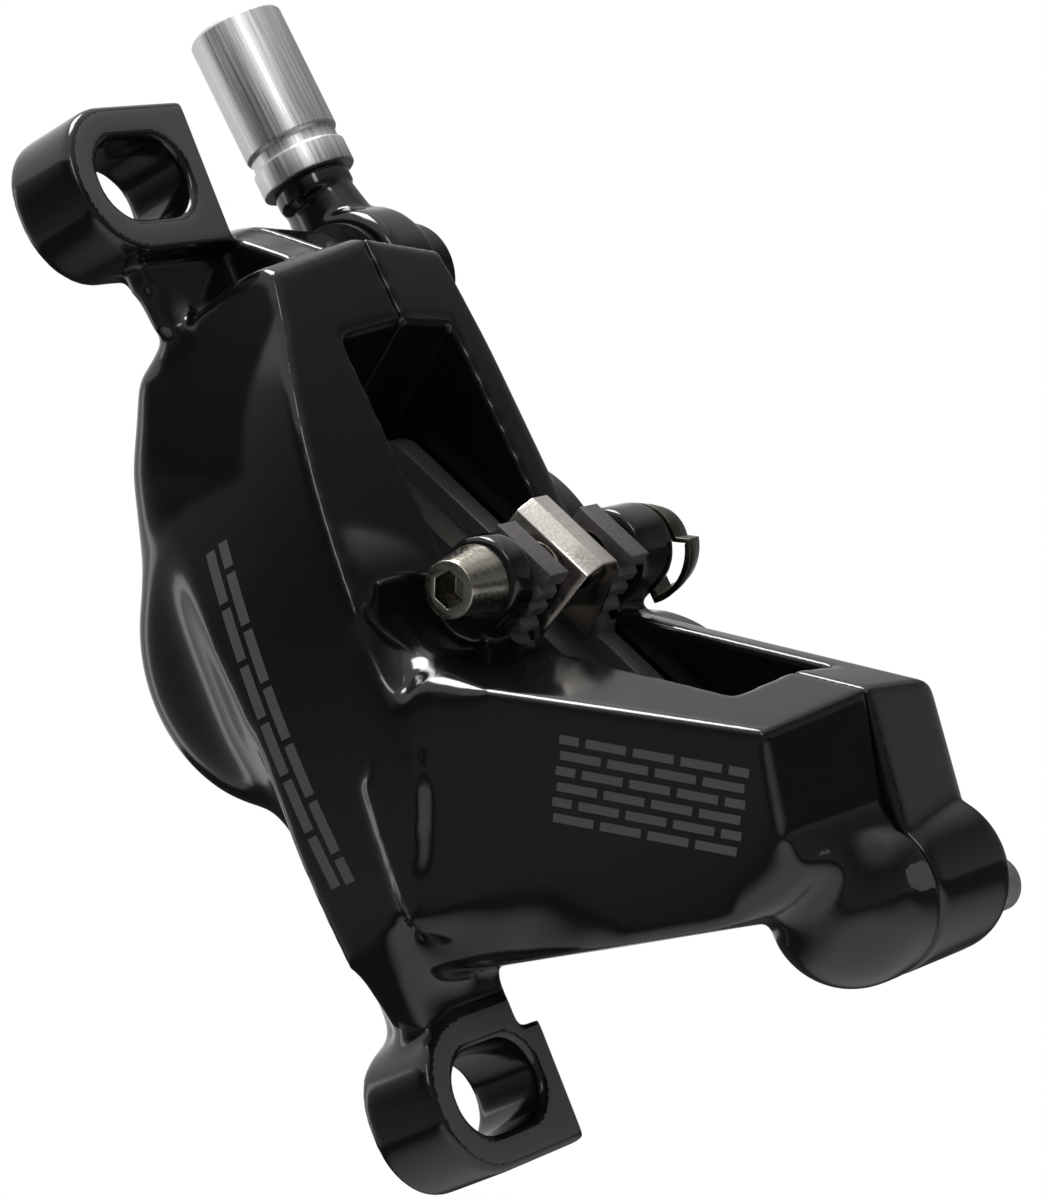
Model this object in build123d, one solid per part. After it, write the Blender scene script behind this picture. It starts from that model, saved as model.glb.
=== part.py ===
from build123d import *
import math
import os

# Bicycle disc brake caliper, post mount, four pistons, two-piece body. Millimetres.
# X runs along the mounting bolts, away from the mount face. Y is the axle direction, from the outboard
# half, which carries the mounting ears, to the inboard half. Z runs from the lower ear to the upper one.
# The origin is on the mount face, midway between the centres of the two ear slots.

# Post mount: two ears whose slots let the caliper slide sideways over the rotor
mount_spacing = 74.0
slot_width = 6.6
slot_length = 10.0
ear_depth = 7.0
ear_wall = 2.8
ear_flat_wall = 2.6
ear_corner = 5.6

# Side view of the two halves: forward reach of the arm and the unit of height
reach = 42.4
rise = 62.0

# Axle direction: parting plane of the halves, and depths from it into either half
parting = 12.0
shoulder_depth = 4.0
flank_depth = 15.6
hump_depth = 16.5
trunk_depth = 26.0
draft = 7.0
face_radius = 85.0
face_depth = 19.2
face_low = -12.0
skirt_height = 3.4
skirt_slope = 58.0
overrun = 1.0

# Rotor that the pads close on
rotor_diameter = 160.0
rotor_thickness = 1.8
rotor_slot_width = 4.4
rotor_edge_gap = 1.6

# Pad pin, between the pads' tabs and through both lugs; the pads lean from the vertical in the side view
pin_x = 20.3
pin_z = -2.1
pad_lean = 28.7
pin_diameter = 4.0
pin_running_gap = 0.05
pin_hole_gap = 0.2
pin_head_base = 6.0
pin_head_top = 4.4
pin_head_height = 3.6
pin_hex = 2.5
pin_hex_depth = 2.6
pin_tail = 1.75
pin_chamfer = 0.4

# Lugs that hold the pin, and the pocket round its head
lug_thickness = 2.65
far_lug_thickness = 4.7
lug_wall = 1.6
lug_foot = 2.6
pocket_gap = 1.6

# Clip on the pin's tail
clip_diameter = 7.5
clip_thickness = 0.8
clip_groove_depth = 0.45
clip_gap = 0.05
clip_ring = 0.9
clip_from_lug = 0.3
clip_tab_width = 1.6
clip_tab_length = 1.5

# Pads, measured along them (downwards) and out from the rotor, from the pin
plate_thickness = 2.3
plate_gap = 0.45
plate_up = 20.9
plate_down = 20.1
plate_top = 4.0
plate_bottom = 22.0
plate_corner = 2.5
tab_width = 6.0
tab_top = 3.1
tab_shift = 0.4
tab_root = 9.0
tooth_pitch = 1.5
tooth_depth = 0.6
tooth_count = 4
friction_thickness = 3.0
friction_margin = 1.6
friction_chamfer = 2.2
friction_slot = 1.2
friction_slot_depth = 2.0
friction_clearance = 0.3

# Window for the pads, through both halves
window_half_width = 6.95
window_end_gap = 0.8

# Spring between the pads
spring_thickness = 0.4
spring_length = 7.9
spring_crown = 3.5
spring_flat = 1.8
spring_shoulder_width = 4.0
spring_shoulder_drop = 0.9
spring_leg = 8.0
spring_plate_gap = 0.35

# Bores, pistons and seals, two of each size in each half
bore_up_diameter = 16.0
bore_down_diameter = 15.0
bore_spacing = 19.2
bore_inset = 13.5
bore_floor = 2.0
piston_length = 7.5
piston_gap = 0.03
piston_wall = 2.0
piston_floor = 2.2
piston_floor_gap = 0.3
piston_chamfer = 0.4
seal_width = 2.0
seal_height = 1.6
seal_inset = 1.8
seal_gap = 0.03

# Walls round the bores, the banjo, the body bolts and the lower boss
hump_wall = 4.6
hump_edge = 0.8
bore_wall = 4.0
bulge_edge = 3.4
banjo_wall = 5.6
bolt_wall = 5.5
boss_radius = 6.1
boss_length = 2.7
boss_far_length = 10.8
boss_edge = 1.2

# Places in the side view
banjo_x = 3.0
banjo_z = 27.6
upper_bolt_x = 9.5
upper_bolt_z = 22.5
lower_bolt_from_end = 9.1
lower_bolt_z = -25.3
boss_from_end = 6.5
boss_z = -34.2
bleed_drop = 2.4

# Inboard half
inboard_depth = 12.9
inboard_edge = 2.8
inboard_slope_low = 11.0
inboard_slope = 10.5

# Screws that join the halves
bolt_diameter = 5.0
bolt_gap = 0.25
bolt_head_diameter = 8.5
bolt_head_height = 5.0
bolt_head_gap = 0.25
bolt_head_sink = 0.6
bolt_hex = 4.0
bolt_hex_depth = 2.6
bolt_thread_length = 9.8
bolt_tip_gap = 0.6
bolt_chamfer = 0.5

# Fluid passages
passage = 2.0
crossover_seal_section = 1.4
seal_squeeze = 0.75
crossover_seal_radius = 2.6

# Banjo, its bolt and its washers
seat_y = 23.0
washer_thickness = 0.5
banjo_thickness = 5.6
banjo_radius = 6.2
banjo_edge = 1.1
banjo_bolt_diameter = 6.0
banjo_bore_gap = 0.1
banjo_bolt_head = 9.0
banjo_head_height = 3.6
banjo_thread = 9.0
banjo_hex = 4.0
neck_diameter = 4.8
collar_diameter = 6.6
collar_length = 1.6

# Hose ferrule on the banjo's neck
ferrule_x = 1.6
ferrule_z = 37.3
ferrule_lean = -5.7
ferrule_length = 14.7
ferrule_diameter = 8.1
ferrule_band_diameter = 7.5
ferrule_band_length = 1.0
ferrule_ring_length = 2.2
ferrule_bore = 5.3
ferrule_floor = 2.6
ferrule_edge = 0.3
spigot_diameter = 3.0

# Bleed plug in the lower boss
bleed_diameter = 4.3
bleed_length = 6.4
bleed_thread = 5.0
bleed_rim = 0.6
bleed_hex = 2.5

# Necks that join the ears to the trunk
neck_back = 0.6
neck_front = 5.0
neck_side = 0.2
neck_sink = 6.0
gusset_width = 2.0
foot_front = 6.6
foot_side = 3.0
foot_sink = 6.0
lip_height = 1.0
lip_width = 2.8

# Outlines in the side view, as shares of the reach across and of the rise up
front_shares = (
    (0.362, 0.442),
    (0.422, -0.074),
    (1.0, -0.325),
    (0.948, -0.456),
    (0.965, -0.516),
    (0.847, -0.552),
    (0.731, -0.548),
    (0.165, -0.477),
    (0.007, -0.477),
    (0.019, -0.323),
    (0.091, -0.003),
    (0.220, 0.430),
)
shoulder_shares = (
    (0.347, 0.447),
    (0.252, 0.453),
    (0.024, 0.427),
    (-0.050, 0.387),
    (-0.082, 0.330),
    (-0.118, 0.262),
    (-0.155, 0.190),
    (-0.188, 0.110),
    (-0.200, 0.040),
    (0.091, -0.003),
    (0.360, 0.320),
)
trunk_shares = (
    (0.362, 0.442),
    (0.422, -0.074),
    (0.429, -0.177),
    (0.425, -0.258),
    (0.330, -0.339),
    (0.189, -0.403),
    (0.080, -0.403),
    (0.047, 0.282),
)
face_shares = (
    (0.333, 0.402),
    (0.344, 0.274),
    (0.356, 0.135),
    (0.373, -0.029),
    (0.387, -0.182),
    (0.375, -0.242),
    (0.318, -0.315),
    (0.200, -0.390),
    (0.184, -0.419),
    (0.163, -0.481),
    (0.118, -0.542),
    (0.090, -0.563),
    (0.057, -0.435),
    (0.059, -0.232),
    (0.068, -0.056),
    (0.021, 0.135),
    (0.035, 0.274),
)
skirt_shares = (
    (-0.059, 0.190),
    (-0.071, 0.060),
    (-0.071, -0.090),
    (-0.050, -0.165),
    (0.060, -0.355),
    (0.300, -0.355),
    (0.300, 0.190),
)
back_shares = (
    (0.362, 0.442),
    (0.422, -0.074),
    (1.0, -0.325),
    (0.962, -0.518),
    (0.847, -0.552),
    (0.007, -0.477),
    (0.070, -0.003),
    (0.110, 0.428),
)
# Rounding of the inboard half's far edges: share of the round's depth, and lean
edge_steps = ((0.5, 22), (0.3, 48), (0.2, 72))
arm_shares = (
    (0.422, -0.074),
    (1.0, -0.325),
    (0.910, -0.541),
    (0.170, -0.434),
    (0.212, -0.194),
)

# The arm's outboard face is a plane that falls away forwards: where it crosses the axle direction at
# the origin, and how it moves per unit forwards and up
arm_face_y = -11.57
arm_face_forward = 0.2347
arm_face_up = -0.097
# The facet above the long face is another
crown_face_y = -8.26
crown_face_forward = 0.118
crown_face_up = 0.297

lean = math.radians(pad_lean)


def pad_point(along, out):
    """Side-view place from the pin: along the pads, downwards, and out from the rotor."""
    x = pin_x + along * math.sin(lean) + out * math.cos(lean)
    z = pin_z - along * math.cos(lean) + out * math.sin(lean)
    return x, z


boss_x = reach - boss_from_end
lower_bolt_x = reach - lower_bolt_from_end
pin = (pin_x, pin_z)
bore_up = pad_point(-bore_spacing / 2, -bore_inset)
bore_down = pad_point(bore_spacing / 2, -bore_inset)
banjo_eye = (banjo_x, banjo_z)
upper_bolt = (upper_bolt_x, upper_bolt_z)
lower_bolt = (lower_bolt_x, lower_bolt_z)
boss = (boss_x, boss_z)
bleed = (boss_x, boss_z - bleed_drop)
upper_slot = mount_spacing / 2
ear_half = slot_width / 2 + ear_wall
ear_flat = slot_length / 2 + ear_flat_wall
ear_end = slot_length / 2 + ear_wall
friction_gap = rotor_thickness / 2 + friction_clearance
plate_inner = friction_gap + friction_thickness
plate_outer = plate_inner + plate_thickness
window_up = plate_up + window_end_gap
window_down = plate_down + window_end_gap
bore_depth = plate_outer + piston_length + piston_floor_gap
up_radius = bore_up_diameter / 2 + bore_wall
down_radius = bore_down_diameter / 2 + bore_wall
pin_hole = pin_diameter + 2 * pin_running_gap
clip_low = parting + window_half_width + far_lug_thickness + clip_from_lug
upper_head_top = seat_y - parting
lower_head_top = inboard_depth - bolt_head_sink


def across(y):
    """Side-view plane at y: its own axes are X and Z, and it extrudes toward -Y."""
    return Plane(origin=(0, y, 0), x_dir=(1, 0, 0), z_dir=(0, -1, 0))


def slab(outline, start, end, taper=0):
    """Side-view outline made solid between two depths from the parting plane, outboard."""
    return extrude(across(parting - start) * outline, amount=end - start, taper=taper)


def disc(place, radius):
    """Circle in the side view."""
    return Pos(*place) * Circle(radius)


def hull(*discs):
    """Face that a belt round some circles closes."""
    return make_hull([edge for one in discs for edge in one.edges()])


def scaled_points(shares):
    """Side-view points from shares of the reach and of the rise."""
    return [(x * reach, z * rise) for x, z in shares]


def scaled_outline(shares):
    """Face from shares of the reach and of the rise."""
    return make_face(Polyline(scaled_points(shares), close=True))


def inset_points(points, distance):
    """The same polygon with each side moved inwards."""
    count = len(points)
    area = sum(points[k - 1][0] * points[k][1] - points[k][0] * points[k - 1][1] for k in range(count))
    turn = math.copysign(1, area)
    moved = []
    for k in range(count):
        before = Vector(*points[k]) - Vector(*points[k - 1])
        after = Vector(*points[(k + 1) % count]) - Vector(*points[k])
        inward_before = Vector(-before.Y, before.X).normalized() * turn
        inward_after = Vector(-after.Y, after.X).normalized() * turn
        step = (inward_before + inward_after) * (distance / (1 + inward_before.dot(inward_after)))
        moved.append((points[k][0] + step.X, points[k][1] + step.Y))
    return moved


def drafted(points, start, end, angle):
    """Solid of a side-view polygon between two depths, whose sides lean in by an angle, outboard."""
    far_points = inset_points(points, (end - start) * math.tan(math.radians(angle)))
    near = [Vector(x, parting - start, z) for x, z in points]
    far = [Vector(x, parting - end, z) for x, z in far_points]
    rings = [near, far] + [[near[k - 1], near[k], far[k], far[k - 1]] for k in range(len(points))]
    return Part() + Solid(Shell([Face(Wire.make_polygon(ring)) for ring in rings]))


def rounded_prism(points, depth, edge):
    """Drafted solid of a side-view polygon whose far edges are rounded in three steps."""
    solid = drafted(points, 0, depth - edge, draft)
    points = inset_points(points, (depth - edge) * math.tan(math.radians(draft)))
    start = depth - edge
    for share, angle in edge_steps:
        solid = solid + drafted(points, start, start + edge * share, angle)
        points = inset_points(points, edge * share * math.tan(math.radians(angle)))
        start = start + edge * share
    return solid


def rod(place, diameter, low, high):
    """Cylinder along Y between two heights of y."""
    return extrude(across(high) * disc(place, diameter / 2), amount=high - low)


def drill(start, end, diameter):
    """Cylinder between two points in space."""
    way = Vector(*end) - Vector(*start)
    return extrude(Plane(origin=start, z_dir=way) * Circle(diameter / 2), amount=way.length)


def hexagon(place, width, low, high):
    """Hexagonal prism along Y."""
    outline = Pos(*place) * RegularPolygon(width / math.sqrt(3), 6)
    return extrude(across(high) * outline, amount=high - low)


def to_inboard(solid):
    """The same piece on the other side of the parting plane."""
    return mirror(solid, about=across(parting))


def behind(y, forward, up):
    """Solid that lies inboard of a tilted plane."""
    outward = Vector(forward, -1, up).normalized()
    size = 2 * (mount_spacing + rotor_diameter)
    return extrude(Plane(origin=(0, y, 0), z_dir=outward) * Rectangle(size, size), amount=-size)


def pad_plane(depth):
    """Plane of the pads at a depth outboard of the parting plane: its x runs along the pads, y is out."""
    return Plane(
        origin=(pin_x, parting - depth, pin_z),
        x_dir=(math.sin(lean), 0, -math.cos(lean)),
        z_dir=(0, -1, 0),
    )


def pad_slab(outline, start, end):
    """Outline in the pads' own axes, made solid between two depths outboard of the parting plane."""
    return extrude(pad_plane(start) * outline, amount=end - start)


def pad_box(along_low, along_high, out_low, out_high):
    """Rectangle in the pads' own axes."""
    centre = Pos((along_low + along_high) / 2, (out_low + out_high) / 2)
    return centre * Rectangle(along_high - along_low, out_high - out_low)


def belt(circles, depth):
    """Solid from the parting plane outboard, with the draft, of the belt round some circles."""
    inset = depth * math.tan(math.radians(draft))
    near = across(parting) * hull(*[disc(place, radius) for place, radius in circles])
    far = across(parting - depth) * hull(*[disc(place, radius - inset) for place, radius in circles])
    return loft([near, far], ruled=True)


def bulge(depth):
    """Wall round both bores."""
    return belt([(bore_up, up_radius), (bore_down, down_radius)], depth)


def crest(depth):
    """Walls round the banjo's seat and the upper body bolt."""
    behind_banjo = belt([(bore_up, up_radius), (banjo_eye, banjo_wall)], depth)
    return behind_banjo + belt([(banjo_eye, banjo_wall), (upper_bolt, bolt_wall)], depth)


def ear(middle):
    """Ear with its slot, round at its outboard end."""
    side = Plane(origin=(0, 0, 0), x_dir=(0, 1, 0), z_dir=(1, 0, 0))
    block = Pos((ear_flat - ear_end) / 2, middle) * Rectangle(ear_flat + ear_end, 2 * ear_half)
    block = fillet(block.vertices().group_by(Axis.X)[0], ear_corner)
    return extrude(side * block, amount=ear_depth)


def ear_slot(middle):
    """Slot through an ear."""
    side = Plane(origin=(0, 0, 0), x_dir=(0, 1, 0), z_dir=(1, 0, 0))
    return extrude(side * (Pos(0, middle) * SlotOverall(slot_length, slot_width)), amount=ear_depth)


def block(x_low, x_high, y_low, y_high, z_low, z_high):
    """Box between coordinates."""
    place = Pos((x_low + x_high) / 2, (y_low + y_high) / 2, (z_low + z_high) / 2)
    return place * Box(x_high - x_low, y_high - y_low, z_high - z_low)


def shared_cuts():
    """Window, rotor slot, bores, seal grooves and pin hole of the outboard half."""
    size = rotor_diameter
    window = pad_slab(pad_box(-window_up, window_down, -size / 2, size / 2), 0, window_half_width)
    rotor_centre = pad_point(0, -bore_inset + rotor_edge_gap - rotor_diameter / 2 + bore_inset / 2)
    rotor_slot = slab(disc(rotor_centre, rotor_diameter / 2 + rotor_edge_gap), 0, rotor_slot_width / 2)
    cuts = window + rotor_slot
    for place, diameter in ((bore_up, bore_up_diameter), (bore_down, bore_down_diameter)):
        cuts = cuts + slab(disc(place, diameter / 2), 0, bore_depth)
        groove_start = window_half_width + seal_inset
        cuts = cuts + slab(disc(place, diameter / 2 + seal_height), groove_start, groove_start + seal_width)
    return cuts


def outboard_body():
    """Outboard half: core, trunk, arm, piston hump, boss, ears and near lug."""
    core = drafted(scaled_points(front_shares), 0, flank_depth, draft) + bulge(flank_depth)
    shoulder = drafted(scaled_points(shoulder_shares), 0, flank_depth, draft)
    low_hump = slab(disc(bore_down, down_radius), 0, hump_depth)
    arm_face = behind(arm_face_y, arm_face_forward, arm_face_up)
    lower = (core + shoulder) & behind(crown_face_y, crown_face_forward, crown_face_up)
    lower = (lower + low_hump) & arm_face
    arm = drafted(scaled_points(arm_shares), 0, trunk_depth, draft) & arm_face
    trunk = drafted(scaled_points(trunk_shares), 0, trunk_depth, draft)
    face = slab(scaled_outline(face_shares), shoulder_depth, trunk_depth)
    swell_centre = (0, parting - face_depth + face_radius, face_low)
    swell = Plane(origin=swell_centre, z_dir=(1, 0, 0)) * Circle(face_radius)
    swell = extrude(swell, amount=reach, both=True)
    skirt_start = hump_depth - overrun
    skirt = drafted(scaled_points(skirt_shares), skirt_start, skirt_start + skirt_height, skirt_slope)
    hump = slab(disc(bore_up, bore_up_diameter / 2 + hump_wall), 0, hump_depth)
    hump = fillet(hump.edges().sort_by(Axis.Y)[0], hump_edge)
    dome_y = parting - boss_length
    dome = Plane(origin=(boss_x, dome_y, boss_z), z_dir=(0, -1, 1)) * Sphere(boss_radius)
    dome = split(dome, bisect_by=across(dome_y), keep=Keep.TOP) + slab(disc(boss, boss_radius), 0, boss_length)
    body = lower + crest(shoulder_depth) + arm + ((trunk + face + skirt + hump) & swell) + dome
    body = body + upper_neck() + lower_neck()
    for middle in (upper_slot, -upper_slot):
        body = body + ear(middle)
        body = body - ear_slot(middle)
    head = pin_head_base / 2 + pocket_gap
    body = body - slab(disc(pin, head), window_half_width + lug_thickness, trunk_depth)
    body = body + near_lug() - shared_cuts()
    body = body - rod(pin, pin_hole, parting - trunk_depth, parting)
    for place in (upper_bolt, lower_bolt):
        body = body - slab(disc(place, bolt_diameter / 2), 0, bolt_thread_length + bolt_tip_gap)
    return body - outboard_passages()


def upper_neck():
    """Neck and gusset between the upper ear and the trunk."""
    low = upper_slot - ear_half - neck_sink
    high = upper_slot - ear_half + overrun
    side = [(neck_back, high), (neck_front, high), (neck_front, low), (neck_front - gusset_width, low)]
    outline = make_face(Polyline(side, close=True))
    neck = slab(outline, shoulder_depth, parting + neck_side)
    gusset = block(neck_front - gusset_width, neck_front, -neck_side - gusset_width, 0, low, high)
    return neck + gusset


def lower_neck():
    """Foot between the lower ear and the trunk, with the lip at its inboard side."""
    low = -upper_slot + ear_half
    foot = block(neck_back, foot_front, -foot_side, ear_flat, low - overrun, low + foot_sink)
    lip = block(neck_back, ear_depth, ear_flat - lip_width, ear_flat, low, low + lip_height)
    return foot + lip


def lug_outline():
    """Lug round the pin, with its foot on the trunk and the arm."""
    vee = (front_shares[1][0] * reach, front_shares[1][1] * rise)
    wall = disc(pin, pin_diameter / 2 + lug_wall)
    return hull(wall, disc((vee[0] - lug_foot, vee[1]), lug_foot))


def near_lug():
    """Lug of the outboard half."""
    return slab(lug_outline(), window_half_width, window_half_width + lug_thickness)


def far_lug():
    """Lug of the inboard half, modelled on the outboard side."""
    return slab(lug_outline(), window_half_width, window_half_width + far_lug_thickness)


def outboard_passages():
    """Fluid ways of the outboard half: bore to bore, and lower bore to the crossover in the boss."""
    level = parting - bore_depth + passage
    ways = drill((bore_up[0], level, bore_up[1]), (bore_down[0], level, bore_down[1]), passage)
    ways = ways + drill((bore_down[0], level, bore_down[1]), (boss_x, parting - boss_length, boss_z), passage)
    ways = ways + slab(disc(boss, passage / 2), 0, boss_length + passage)
    groove = disc(boss, crossover_seal_radius) - disc(boss, passage / 2)
    return ways + slab(groove, 0, crossover_seal_section * seal_squeeze)


def inboard_body():
    """Inboard half: modelled outboard of the parting plane, then mirrored."""
    shell = rounded_prism(scaled_points(back_shares), inboard_depth, inboard_edge) + bulge(inboard_depth)
    shell = shell + crest(inboard_depth)
    slope = math.tan(math.radians(inboard_slope))
    shell = shell & behind(parting - inboard_depth - slope * inboard_slope_low, 0, slope)
    caps = [bulge_cap(bore_up, bore_up_diameter), bulge_cap(bore_down, bore_down_diameter)]
    boss_rod = slab(disc(boss, boss_radius), 0, boss_far_length)
    boss_rod = fillet(boss_rod.edges().sort_by(Axis.Y)[0], boss_edge)
    half = shell + caps[0] + caps[1] + boss_rod
    clip_room = clip_diameter / 2 + clip_tab_length
    half = half - slab(disc(pin, clip_room), window_half_width + far_lug_thickness, trunk_depth)
    half = half + far_lug() - shared_cuts()
    half = half - slab(disc(pin, pin_hole / 2), 0, trunk_depth)
    half = half - slab(disc(banjo_eye, banjo_radius + banjo_edge), seat_y - parting, trunk_depth)
    half = half - slab(disc(banjo_eye, banjo_bolt_diameter / 2), seat_y - parting - banjo_thread, trunk_depth)
    for place, top in ((upper_bolt, upper_head_top), (lower_bolt, lower_head_top)):
        half = half - slab(disc(place, bolt_diameter / 2 + bolt_gap), 0, trunk_depth)
        head = bolt_head_diameter / 2 + bolt_head_gap
        half = half - slab(disc(place, head), top - bolt_head_height, trunk_depth)
    half = half - slab(disc(bleed, bleed_diameter / 2), boss_far_length - bleed_thread, trunk_depth)
    return to_inboard(half - inboard_passages())


def bulge_cap(place, diameter):
    """Rounded cap over a bore of the inboard half."""
    cap = slab(disc(place, diameter / 2 + bore_wall), 0, bore_depth + bore_floor)
    return fillet(cap.edges().sort_by(Axis.Y)[0], bulge_edge)


def inboard_passages():
    """Fluid ways of the inboard half: banjo to upper bore, bore to bore, and lower bore to the boss."""
    level = parting - bore_depth + passage
    inlet = parting - (seat_y - parting - banjo_thread + passage)
    ways = drill((banjo_x, inlet, banjo_z), (bore_up[0], level, bore_up[1]), passage)
    ways = ways + drill((bore_up[0], level, bore_up[1]), (bore_down[0], level, bore_down[1]), passage)
    ways = ways + drill((bore_down[0], level, bore_down[1]), (boss_x, parting - boss_length, boss_z), passage)
    return ways + slab(disc(boss, passage / 2), 0, boss_length + passage)


def body_bolt(place, top):
    """Socket-head screw, whose head sits in the inboard half and whose tip is in the outboard one."""
    low = parting - bolt_thread_length
    seat = parting + top - bolt_head_height
    shank = rod(place, bolt_diameter, low, seat)
    shank = chamfer(shank.edges().sort_by(Axis.Y)[0], bolt_chamfer)
    head = rod(place, bolt_head_diameter, seat, seat + bolt_head_height)
    head = chamfer(head.edges().sort_by(Axis.Y)[-1], bolt_chamfer)
    top_y = seat + bolt_head_height
    return shank + head - hexagon(place, bolt_hex, top_y - bolt_hex_depth, top_y)


def crossover_seal():
    """Square ring that seals the fluid way between the halves."""
    ring = disc(boss, crossover_seal_radius) - disc(boss, crossover_seal_radius - crossover_seal_section)
    return slab(ring, 0, crossover_seal_section * seal_squeeze)


def piston(place, diameter):
    """Hollow piston of the outboard half, open away from the pad."""
    radius = diameter / 2 - piston_gap
    body = slab(disc(place, radius), plate_outer, plate_outer + piston_length)
    body = chamfer(body.edges().sort_by(Axis.Y)[-1], piston_chamfer)
    hollow = disc(place, radius - piston_wall)
    return body - slab(hollow, plate_outer + piston_floor, plate_outer + piston_length)


def piston_seal(place, diameter):
    """Square seal in its groove, outboard half."""
    ring = disc(place, diameter / 2 + seal_height) - disc(place, diameter / 2 - piston_gap + seal_gap)
    start = window_half_width + seal_inset
    return slab(ring, start, start + seal_width)


def plate_outline():
    """Backing plate with its toothed tab and the pin's hole, in the pads' axes."""
    plate = pad_box(-plate_up, plate_down, -plate_bottom, -plate_top)
    plate = fillet(plate.vertices(), plate_corner)
    middle = tab_shift
    tab = pad_box(middle - tab_width / 2, middle + tab_width / 2, -tab_root, tab_top)
    root = Polyline(
        [
            (middle - tab_width, -tab_root),
            (middle - tab_width / 2, -plate_top + plate_corner),
            (middle + tab_width / 2, -plate_top + plate_corner),
            (middle + tab_width, -tab_root),
        ],
        close=True,
    )
    outline = plate + tab + make_face(root)
    for tooth in range(tooth_count):
        top = tab_top - tooth_pitch * (tooth + 1)
        side = middle + tab_width / 2
        notch = Polyline(
            [
                (side + tooth_depth, top + tooth_pitch / 2),
                (side - tooth_depth, top),
                (side + tooth_depth, top - tooth_pitch / 2),
            ],
            close=True,
        )
        outline = outline - make_face(notch)
    return outline - Circle(pin_diameter / 2 + pin_hole_gap)


def backing_plate():
    """Steel plate of the outboard pad."""
    return pad_slab(plate_outline(), plate_inner, plate_outer)


def friction_block():
    """Friction material of the outboard pad, with its slot and sloping ends."""
    low = -plate_up + friction_margin
    high = plate_down - friction_margin
    out_low = -plate_bottom + friction_margin
    out_high = -plate_top - friction_margin
    pad = pad_slab(pad_box(low, high, out_low, out_high), friction_gap, plate_inner)
    ends = pad.edges().filter_by(GeomType.LINE)
    rotor_side = [e for e in ends if abs(e.center().Y - (parting - friction_gap)) < friction_slot / 10]
    across_pad = [e for e in rotor_side if abs(e.length - (out_high - out_low)) < friction_slot / 10]
    pad = chamfer(across_pad, friction_chamfer / 2)
    slot = pad_box(-friction_slot / 2, friction_slot / 2, out_low, out_high)
    return pad - pad_slab(slot, friction_gap, friction_gap + friction_slot_depth)


def pad_spring():
    """Sheet spring over the pin between the pads, bent down on both sides, with a wing to each end."""
    half_flat = spring_flat / 2
    half = spring_shoulder_width / 2
    leg = plate_inner - spring_plate_gap
    crown = spring_crown
    low = crown - spring_leg
    side = Plane(origin=(pin_x, parting, pin_z), x_dir=(0, 1, 0), z_dir=(math.sin(lean), 0, -math.cos(lean)))
    outer = [
        (-leg, low),
        (-half, crown - spring_shoulder_drop),
        (-half_flat, crown),
        (half_flat, crown),
        (half, crown - spring_shoulder_drop),
        (leg, low),
    ]
    section = trace(Polyline(outer), spring_thickness)
    sheet = extrude(side * section, amount=spring_length / 2, both=True)
    return sheet - rod(pin, pin_diameter + 2 * pin_hole_gap, parting - leg - plate_gap, parting + leg + plate_gap)


def pad_pin():
    """Headed pin with a hex socket, through both lugs, with the clip's groove."""
    base = parting - window_half_width - lug_thickness
    tail = parting + window_half_width + far_lug_thickness + pin_tail
    shank = rod(pin, pin_diameter, base, tail)
    shank = chamfer(shank.edges().sort_by(Axis.Y)[-1], pin_chamfer)
    big = Plane(origin=(pin_x, base, pin_z), z_dir=(0, -1, 0)) * Circle(pin_head_base / 2)
    small = Plane(origin=(pin_x, base - pin_head_height, pin_z), z_dir=(0, -1, 0)) * Circle(pin_head_top / 2)
    head = loft([big, small])
    top = base - pin_head_height
    head = head - hexagon(pin, pin_hex, top, top + pin_hex_depth)
    groove = disc(pin, pin_diameter) - disc(pin, pin_diameter / 2 - clip_groove_depth)
    groove = extrude(across(clip_low + clip_thickness + clip_gap) * groove, amount=clip_thickness + 2 * clip_gap)
    return shank + head - groove


def pin_clip():
    """Open ring that snaps into the pin's groove, with a tab."""
    ring = Circle(clip_diameter / 2) - Circle(clip_diameter / 2 - clip_ring)
    bite = pin_diameter / 2 - clip_groove_depth + clip_gap
    spokes = Rectangle(clip_diameter - clip_ring, clip_ring) + Rectangle(clip_ring, clip_diameter - clip_ring)
    ring = ring + spokes - Circle(bite)
    mouth = Pos(0, -clip_diameter / 2) * Rectangle(2 * bite, clip_diameter)
    tab = Pos(0, clip_diameter / 2) * Rectangle(clip_tab_width, clip_tab_length)
    low = pad_plane(parting - clip_low - clip_thickness)
    return extrude(low * (ring - mouth + tab), amount=clip_thickness)


def washer(low):
    """Sealing washer of the banjo."""
    ring = disc(banjo_eye, banjo_radius - banjo_edge) - disc(banjo_eye, banjo_bolt_diameter / 2 + banjo_bore_gap)
    return extrude(across(low + washer_thickness) * ring, amount=washer_thickness)


def ferrule_place():
    """Frame whose z runs up the ferrule from the end near the banjo."""
    tilt = math.radians(ferrule_lean)
    middle = seat_y + washer_thickness + banjo_thickness / 2
    return Plane(origin=(ferrule_x, middle, ferrule_z), x_dir=(0, 1, 0), z_dir=(math.sin(tilt), 0, math.cos(tilt)))


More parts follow.
